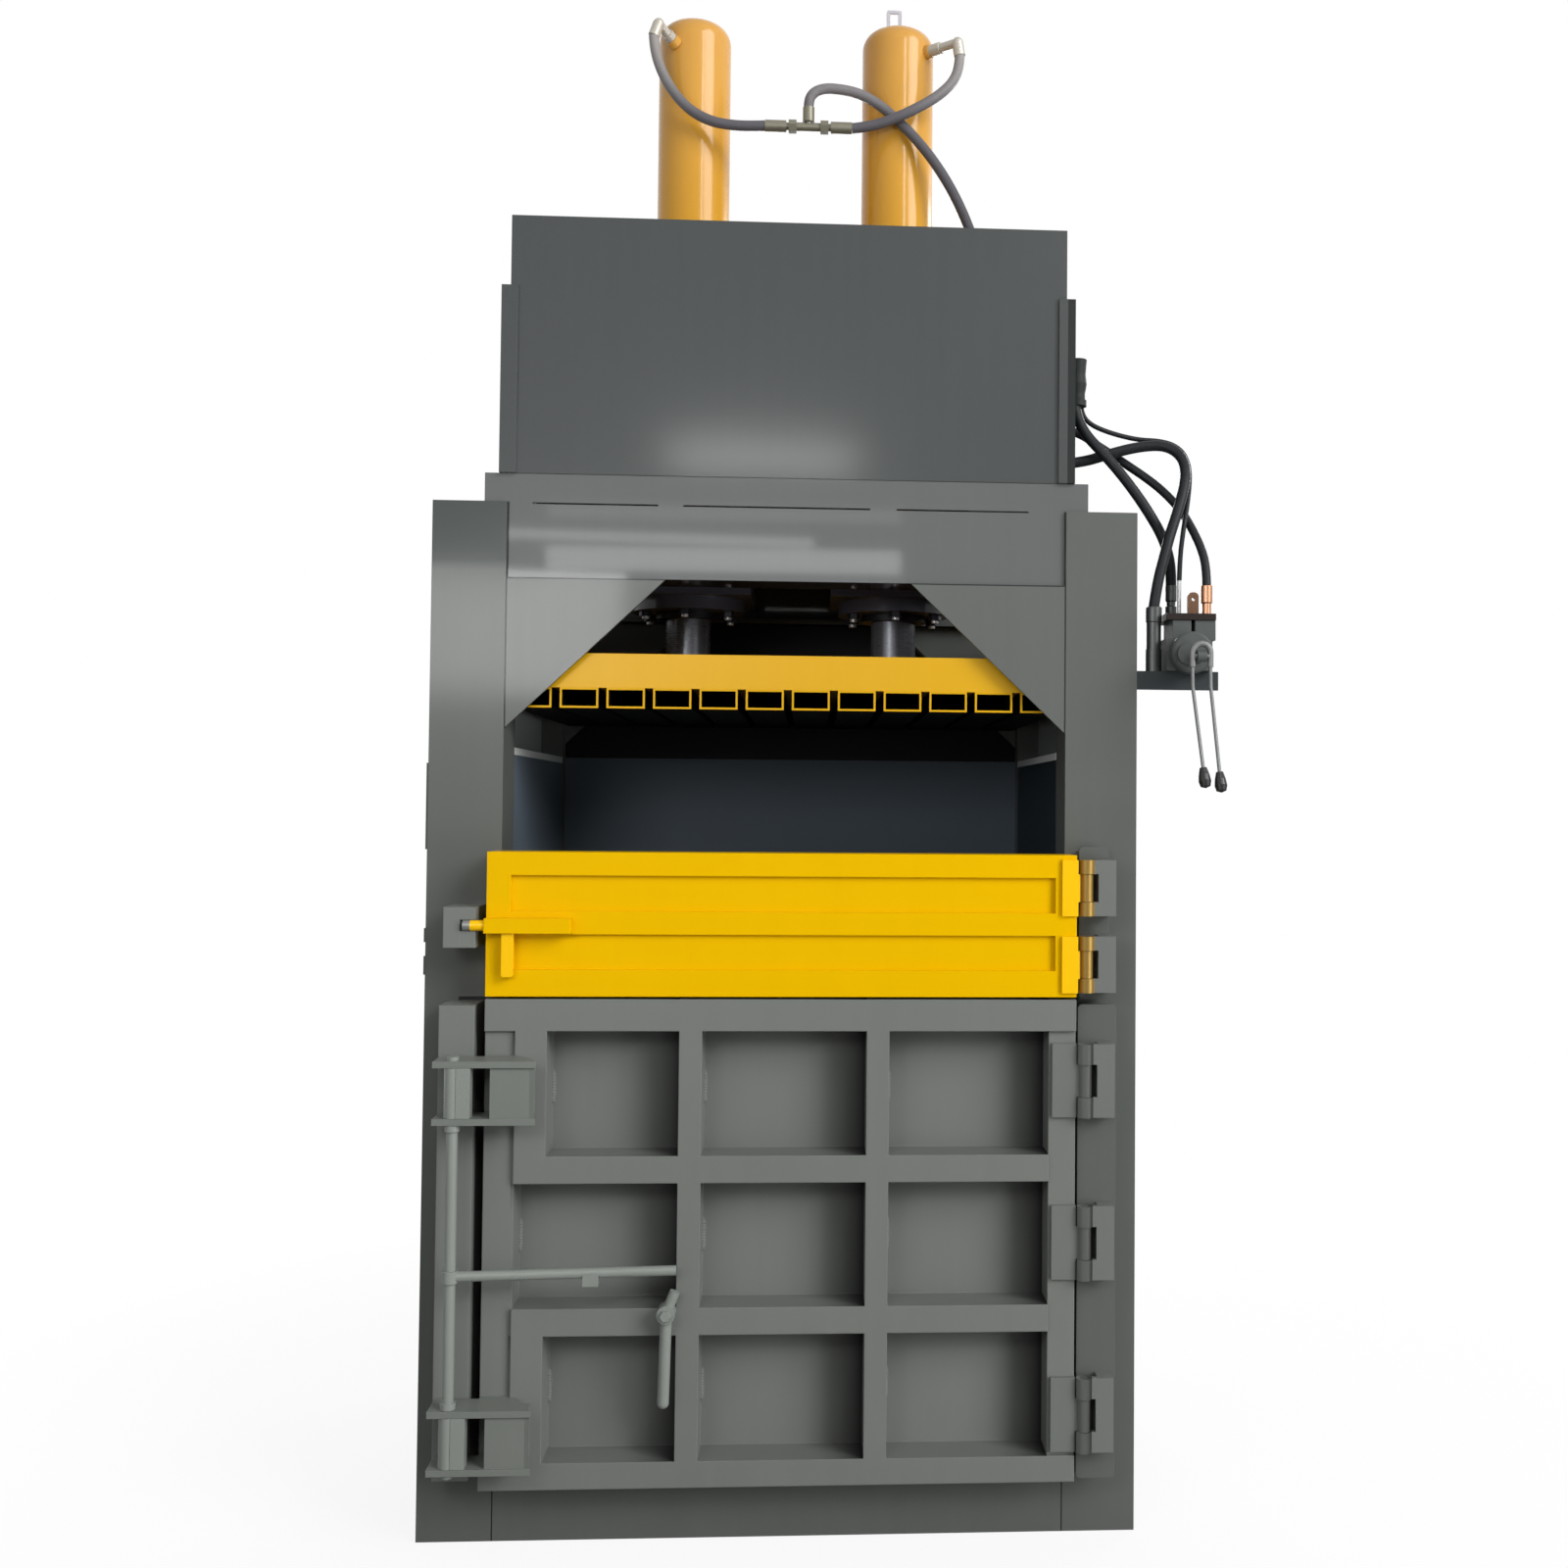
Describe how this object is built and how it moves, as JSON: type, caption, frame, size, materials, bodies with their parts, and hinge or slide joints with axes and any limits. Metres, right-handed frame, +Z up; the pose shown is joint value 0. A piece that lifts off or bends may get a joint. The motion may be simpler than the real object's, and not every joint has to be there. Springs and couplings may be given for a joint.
{
  "type": "recycling baler",
  "caption": "Vertical hydraulic baling press with twin cylinders, a channelled platen, a hinged feed door, a latched ribbed bale door and a lever valve.",
  "frame": {"origin": "middle of the machine's footprint on the floor, under the base's cross beam", "axes": "+X to the right seen from the front, +Y to the back, +Z up"},
  "size_m": [1.556, 1.0281, 3.2],
  "materials": {
    "frame_paint": "semi-gloss dark grey paint",
    "guard_paint": "satin mid grey paint",
    "door_paint": "gloss yellow paint",
    "platen_paint": "satin yellow paint",
    "cylinder_paint": "gloss amber paint",
    "machined_steel": "turned, lightly oiled",
    "rod_chrome": "hard chrome, oiled",
    "hose_rubber": "matte black rubber",
    "knob_plastic": "gloss black plastic",
    "motor_paint": "satin grey-blue paint"
  },
  "bodies": {
    "frame": {"back_wall": "frame_paint", "base_frame": "frame_paint", "cover_front": "frame_paint", "cover_sides": "frame_paint", "crosshead_beams": "frame_paint", "crosshead_channels": "frame_paint", "crosshead_deck": "frame_paint", "cylinder_glands": "machined_steel", "cylinder_left": "cylinder_paint", "cylinder_plates": "frame_paint", "cylinder_right": "cylinder_paint", "flange_bolts": "machined_steel", "floor_plate": "frame_paint", "front_gussets": "frame_paint", "hinge_frame_leaves": "frame_paint", "hinge_pads": "frame_paint", "hinge_pins": "machined_steel", "hose_glands": "hose_rubber", "hose_tee": "machined_steel", "keeper_block": "frame_paint", "latch_column": "frame_paint", "left_cylinder_hose": "hose_rubber", "lifting_eye": "cylinder_paint", "oil_tank": "guard_paint", "port_elbows": "machined_steel", "post_front_left": "frame_paint", "post_front_right": "frame_paint", "post_rear_left": "frame_paint", "post_rear_right": "frame_paint", "pressure_hose": "hose_rubber", "pump_unit": "motor_paint", "rear_gussets": "frame_paint", "return_hose": "hose_rubber", "right_cylinder_hose": "hose_rubber", "side_wall_left": "frame_paint", "side_wall_right": "frame_paint", "supply_hose": "hose_rubber", "tank_hose": "hose_rubber", "thin_line": "hose_rubber", "upper_guards": "guard_paint", "valve_body": "frame_paint", "valve_fittings": "machined_steel", "valve_shelf": "frame_paint"},
    "platen": {"platen": "platen_paint", "platen_tubes": "platen_paint", "piston_rods": "rod_chrome", "pistons": "machined_steel"},
    "feed_door": {"feed_door": "door_paint", "feed_hinge_door_leaves": "door_paint", "bolt_housing": "door_paint"},
    "feed_bolt": {"feed_bolt": "door_paint"},
    "main_door": {"main_door": "frame_paint", "main_hinge_door_leaves": "frame_paint", "latch_yokes": "frame_paint"},
    "latch": {"latch_shaft": "frame_paint", "latch_lever": "frame_paint"},
    "catch_handle": {"catch_handle": "frame_paint"},
    "valve_lever": {"valve_lever": "machined_steel", "lever_knobs": "knob_plastic"}
  },
  "joints": [
    {"name": "platen_press", "type": "slide", "parent": "frame", "child": "platen", "axis": [0, 0, -1], "range_m": [0, 1.1]},
    {"name": "feed_door_hinge", "type": "hinge", "parent": "frame", "child": "feed_door", "pos_m": [0.581, -0.51, 1.186], "axis": [0, 0, 1], "range_deg": [0, 110]},
    {"name": "feed_bolt_slide", "type": "slide", "parent": "feed_door", "child": "feed_bolt", "axis": [1, 0, 0], "range_m": [0, 0.045]},
    {"name": "main_door_hinge", "type": "hinge", "parent": "frame", "child": "main_door", "pos_m": [0.578, -0.52, 0.589], "axis": [0, 0, 1], "range_deg": [0, 115]},
    {"name": "latch_turn", "type": "hinge", "parent": "main_door", "child": "latch", "pos_m": [-0.605, -0.575, 0.544], "axis": [0, 0, 1], "range_deg": [-90, 0]},
    {"name": "catch_swing", "type": "hinge", "parent": "main_door", "child": "catch_handle", "pos_m": [-0.213, -0.5375, 0.463], "axis": [0, 1, 0], "range_deg": [-90, 90]},
    {"name": "valve_lever_tilt", "type": "hinge", "parent": "frame", "child": "valve_lever", "pos_m": [0.7975, -0.535, 1.708], "axis": [1, 0, 0], "range_deg": [-15, 15], "stiffness_Nm_per_rad": 20}
  ]
}
